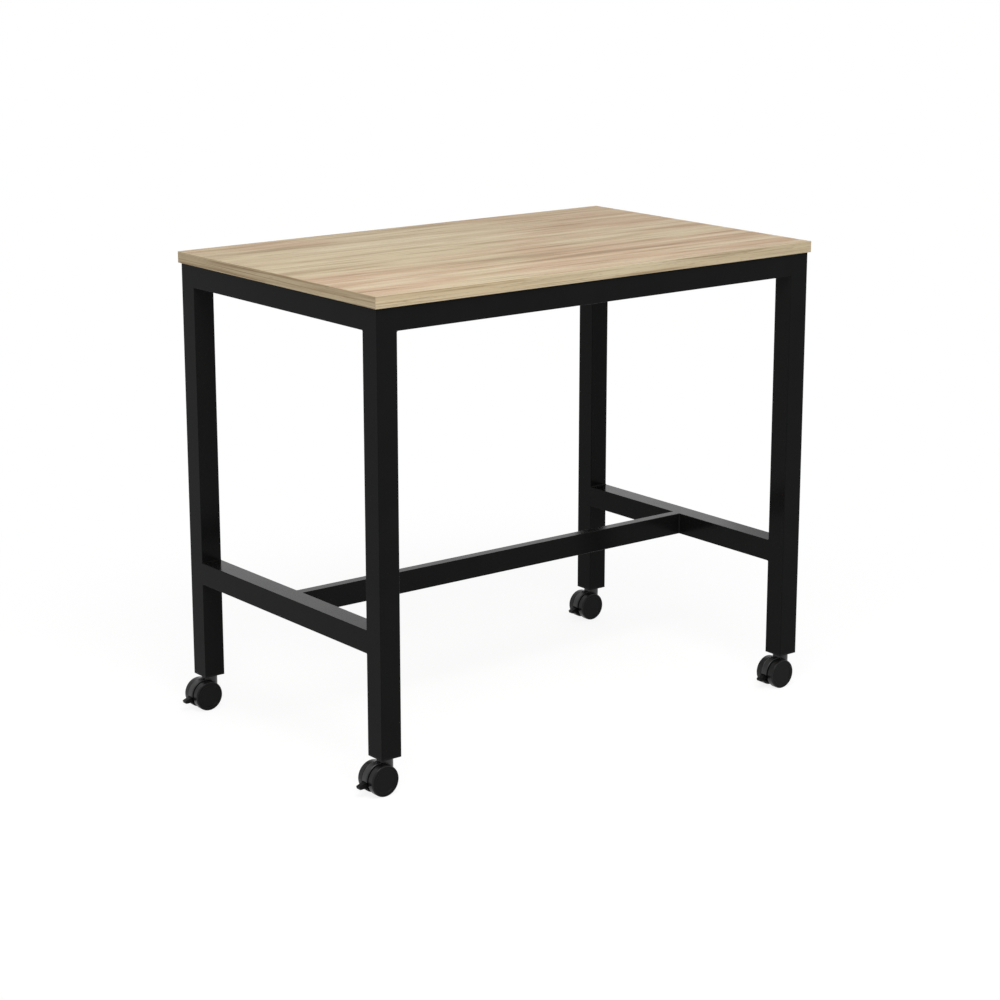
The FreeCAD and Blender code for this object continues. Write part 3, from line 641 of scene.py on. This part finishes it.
class TABLE_OT_fixings(bpy.types.Operator):
    """Dress the screws, stems, pins and leg inserts"""

    bl_idname = "bar_table.fixings"
    bl_label = "Fixings"

    def execute(self, context):
        look = context.scene.bar_table.fixing
        zinc = zinc_steel(look)
        insert = moulded("insert_nylon", look.insert, look.mottle, dull=0.4, gloss=0.08, grain=1 * MM)
        for node in ("top_screws", "insert_nuts", "caster_stems", "stem_clips"):
            dress(node, zinc)
        self.add_screws(zinc)
        for corner in CORNERS:
            for pin in ("axle", "lever_pin", "brake_bar"):
                dress(f"caster_{corner}_{pin}", zinc)
        dress("leg_inserts", insert)
        return {"FINISHED"}

    def screw_places(self):
        """The middle of each screw's seat under the fixing tabs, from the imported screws."""
        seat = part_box("fixing_tabs")[0].z
        points = [vertex.co for vertex in frame["nodes"]["top_screws"].data.vertices]
        found = []
        for point in points:
            if all((point - place).xy.length > SCREWS_APART for place in found):
                found.append(Vector((point.x, point.y, seat)))
        for place in found:
            near = [point for point in points if (point - place).xy.length < SCREW_REACH]
            for axis in (X, Y):
                place[axis] = (min(point[axis] for point in near) + max(point[axis] for point in near)) / 2
        return found

    def add_screws(self, zinc):
        """Pan-head wood screws with a cross recess, driven up through the tabs."""
        shape = bmesh.new()
        for place in self.screw_places():
            self.add_screw(shape, place)
        screws = add_piece("pan_head_screws", shape, zinc, "table")
        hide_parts("top_screws")

    def add_screw(self, shape, place):
        """Spins one screw from its outline, which is open at the head, and closes it with the recess."""
        outline = [*PAN_HEAD, (CREST_RADIUS, 0)]
        for step in range(THREAD_STEPS):
            outline.append((CREST_RADIUS if step % 2 else ROOT_RADIUS, HALF_PITCH * (step + 1)))
        outline.append((0, SCREW_POINT))
        profile = [Vector((radius, 0, height)) * MM for radius, height in outline]
        points = [shape.verts.new(point + place) for point in profile]
        edges = [shape.edges.new(pair) for pair in zip(points, points[1:])]
        bmesh.ops.spin(
            shape, geom=points + edges, cent=place, axis=(0, 0, 1),
            angle=2 * math.pi, steps=SCREW_SIDES, use_merge=True,
        )
        rim = [
            edge for edge in shape.edges
            if edge.is_boundary and all((v.co - place).length < HEAD_REACH for v in edge.verts)
        ]
        self.add_recess(shape, place, rim)

    def add_recess(self, shape, place, rim):
        """Fills a head's rim with a flat top, and sinks a tapered cross into it."""
        arm = RECESS_ARM
        half = RECESS_HALF
        tips = [(half, half), (half, arm), (-half, arm), (-half, half), (-arm, half), (-arm, -half)]
        tips += [(-x, -y) for x, y in tips]
        cross = [shape.verts.new(place + Vector((x, y, HEAD_TOP * MM))) for x, y in tips]
        ring = [shape.edges.new(pair) for pair in zip(cross, cross[1:] + cross[:1])]
        bmesh.ops.bridge_loops(shape, edges=rim + ring)
        recess = bmesh.ops.extrude_edge_only(shape, edges=ring)["geom"]
        corners = [part for part in recess if isinstance(part, bmesh.types.BMVert)]
        bottom = [part for part in recess if isinstance(part, bmesh.types.BMEdge)]
        bmesh.ops.translate(shape, verts=corners, vec=(0, 0, RECESS_DEPTH))
        bmesh.ops.scale(
            shape, verts=corners, vec=(RECESS_TAPER_SHARE, RECESS_TAPER_SHARE, 1),
            space=Matrix.Translation(-place),
        )
        bmesh.ops.contextual_create(shape, geom=bottom)


CAMERA_PLACE = (-3.4047, -4.3547, 1.8880)  # metres
CAMERA_DROP = 14.412  # degrees below level
CAMERA_TURN = -38.052  # degrees round from looking straight at the front
SENSOR_WIDTH = 36  # millimetres

# Lamps, in metres: width and height, place, and the point that the lamp faces
KEY_SIDES = (2.4, 1.8)
KEY_PLACE = (-1.1, -1.9, 3.3)
KEY_AIM = (0, 0, 0.9)
STRIP_SIDES = (3.2, 0.7)
STRIP_PLACE = (1.3, 2.8, 1.2)
STRIP_AIM = (0, 0, 0.4)


class TABLE_OT_studio(bpy.types.Operator):
    """Set the camera, the floor, the two lamps and the light from all round"""

    bl_idname = "bar_table.studio"
    bl_label = "Studio"

    def execute(self, context):
        look = context.scene.bar_table.studio
        context.scene.view_settings.view_transform = "Standard"
        self.add_camera(context, look)
        self.add_floor(context, look)
        self.add_lamp(context, "key_light", KEY_SIDES, KEY_PLACE, KEY_AIM, look.key_power)
        self.add_lamp(context, "strip_light", STRIP_SIDES, STRIP_PLACE, STRIP_AIM, look.strip_power)
        self.add_surroundings(context, look)
        return {"FINISHED"}

    def add_camera(self, context, look):
        """Stands the camera in front of the table's near left corner."""
        lens = bpy.data.cameras.new("camera")
        lens.sensor_width = SENSOR_WIDTH
        lens.lens = look.focal_length
        camera = bpy.data.objects.new("camera", lens)
        camera.location = CAMERA_PLACE
        camera.rotation_euler = (math.radians(90 - CAMERA_DROP), 0, math.radians(CAMERA_TURN))
        context.scene.collection.objects.link(camera)
        context.scene.camera = camera

    def add_floor(self, context, look):
        """Lays the floor under the casters."""
        shape = bmesh.new()
        bmesh.ops.create_grid(shape, x_segments=1, y_segments=1, size=look.floor_size / 2)
        mesh = bpy.data.meshes.new("floor")
        shape.to_mesh(mesh)
        shape.free()
        mesh.materials.append(self.floor_paint(look))
        floor = bpy.data.objects.new("floor", mesh)
        context.scene.collection.objects.link(floor)

    def seen_share(self, tree):
        """1 for what the eye, a mirror or a glass sees, 0 for light that only bounces."""
        ray = add_node(tree, "ShaderNodeLightPath")
        direct = add_node(
            tree, "ShaderNodeMath",
            {0: ray.outputs["Is Camera Ray"], 1: ray.outputs["Is Glossy Ray"]}, operation="MAXIMUM",
        )
        through = add_node(
            tree, "ShaderNodeMath",
            {0: direct.outputs["Value"], 1: ray.outputs["Is Transmission Ray"]}, operation="MAXIMUM",
        )
        return through.outputs["Value"]

    def floor_paint(self, look):
        """White sweep: pale paint for the light, and white with a soft shadow for the eye."""
        material, tree = new_material("studio_floor")
        place = add_node(tree, "ShaderNodeTexCoord").outputs["Object"]
        reach = add_node(tree, "ShaderNodeVectorMath", {0: place}, operation="LENGTH")
        shadow_share = add_node(
            tree, "ShaderNodeMapRange",
            {
                "Value": reach.outputs["Value"], "From Min": look.shadow_end,
                "From Max": look.shadow_core, "To Max": look.shadow_share,
            },
            interpolation_type="SMOOTHSTEP",
        ).outputs["Result"]
        paint = add_node(tree, "ShaderNodeBsdfDiffuse", {"Color": look.floor})
        shade = add_node(tree, "ShaderNodeBsdfDiffuse", {"Color": shadow_share})
        rest = add_node(
            tree, "ShaderNodeMath",
            {0: shadow_share, 1: -look.floor_light, 2: 1}, operation="MULTIPLY_ADD",
        )
        white = add_node(
            tree, "ShaderNodeEmission", {"Color": WHITE, "Strength": rest.outputs["Value"]}
        )
        seen = add_node(
            tree, "ShaderNodeAddShader", {0: white.outputs["Emission"], 1: shade.outputs["BSDF"]}
        )
        floor = add_node(
            tree, "ShaderNodeMixShader",
            {0: self.seen_share(tree), 1: paint.outputs["BSDF"], 2: seen.outputs["Shader"]},
        )
        add_node(tree, "ShaderNodeOutputMaterial", {"Surface": floor.outputs["Shader"]})
        return material

    def add_lamp(self, context, name, sides, place, aim, power):
        """Hangs a rectangular soft box that faces the table."""
        lamp = bpy.data.lights.new(name, "AREA")
        lamp.shape = "RECTANGLE"
        lamp.size = sides[0]
        lamp.size_y = sides[1]
        lamp.energy = power
        box = bpy.data.objects.new(name, lamp)
        box.location = place
        box.rotation_euler = (Vector(aim) - box.location).to_track_quat("-Z", "Y").to_euler()
        context.scene.collection.objects.link(box)

    def add_surroundings(self, context, look):
        """Lights the table from all round, with white behind it for the eye."""
        world = bpy.data.worlds.new("studio")
        context.scene.world = world
        world.use_nodes = True
        tree = world.node_tree
        tree.nodes.clear()
        fill = add_node(tree, "ShaderNodeBackground", {"Color": WHITE, "Strength": look.ambient})
        white = add_node(tree, "ShaderNodeBackground", {"Color": WHITE, "Strength": 1})
        both = add_node(
            tree, "ShaderNodeMixShader",
            {0: self.seen_share(tree), 1: fill.outputs["Background"], 2: white.outputs["Background"]},
        )
        add_node(tree, "ShaderNodeOutputWorld", {"Surface": both.outputs["Shader"]})


OPERATORS = (
    TABLE_OT_top, TABLE_OT_frame, TABLE_OT_welds, TABLE_OT_casters, TABLE_OT_fixings, TABLE_OT_studio,
)


class TABLE_PT_sidebar(bpy.types.Panel):
    """The steps that dress the table"""

    bl_idname = "TABLE_PT_sidebar"
    bl_label = "Bar table"
    bl_space_type = "VIEW_3D"
    bl_region_type = "UI"
    bl_category = "Bar table"

    def draw(self, context):
        for step in OPERATORS:
            self.layout.operator(step.bl_idname)


LOOKS = (WoodLook, FrameLook, CasterLook, FixingLook, StudioLook, TableLook)
CLASSES = (*LOOKS, *OPERATORS, TABLE_PT_sidebar)


def register():
    for kind in CLASSES:
        bpy.utils.register_class(kind)
    bpy.types.Scene.bar_table = bpy.props.PointerProperty(type=TableLook)


def unregister():
    del bpy.types.Scene.bar_table
    for kind in reversed(CLASSES):
        bpy.utils.unregister_class(kind)


def main():
    register()
    bpy.ops.bar_table.top()
    bpy.ops.bar_table.frame()
    bpy.ops.bar_table.welds()
    bpy.ops.bar_table.casters()
    bpy.ops.bar_table.fixings()
    bpy.ops.bar_table.studio()


if __name__ == "__main__":
    main()
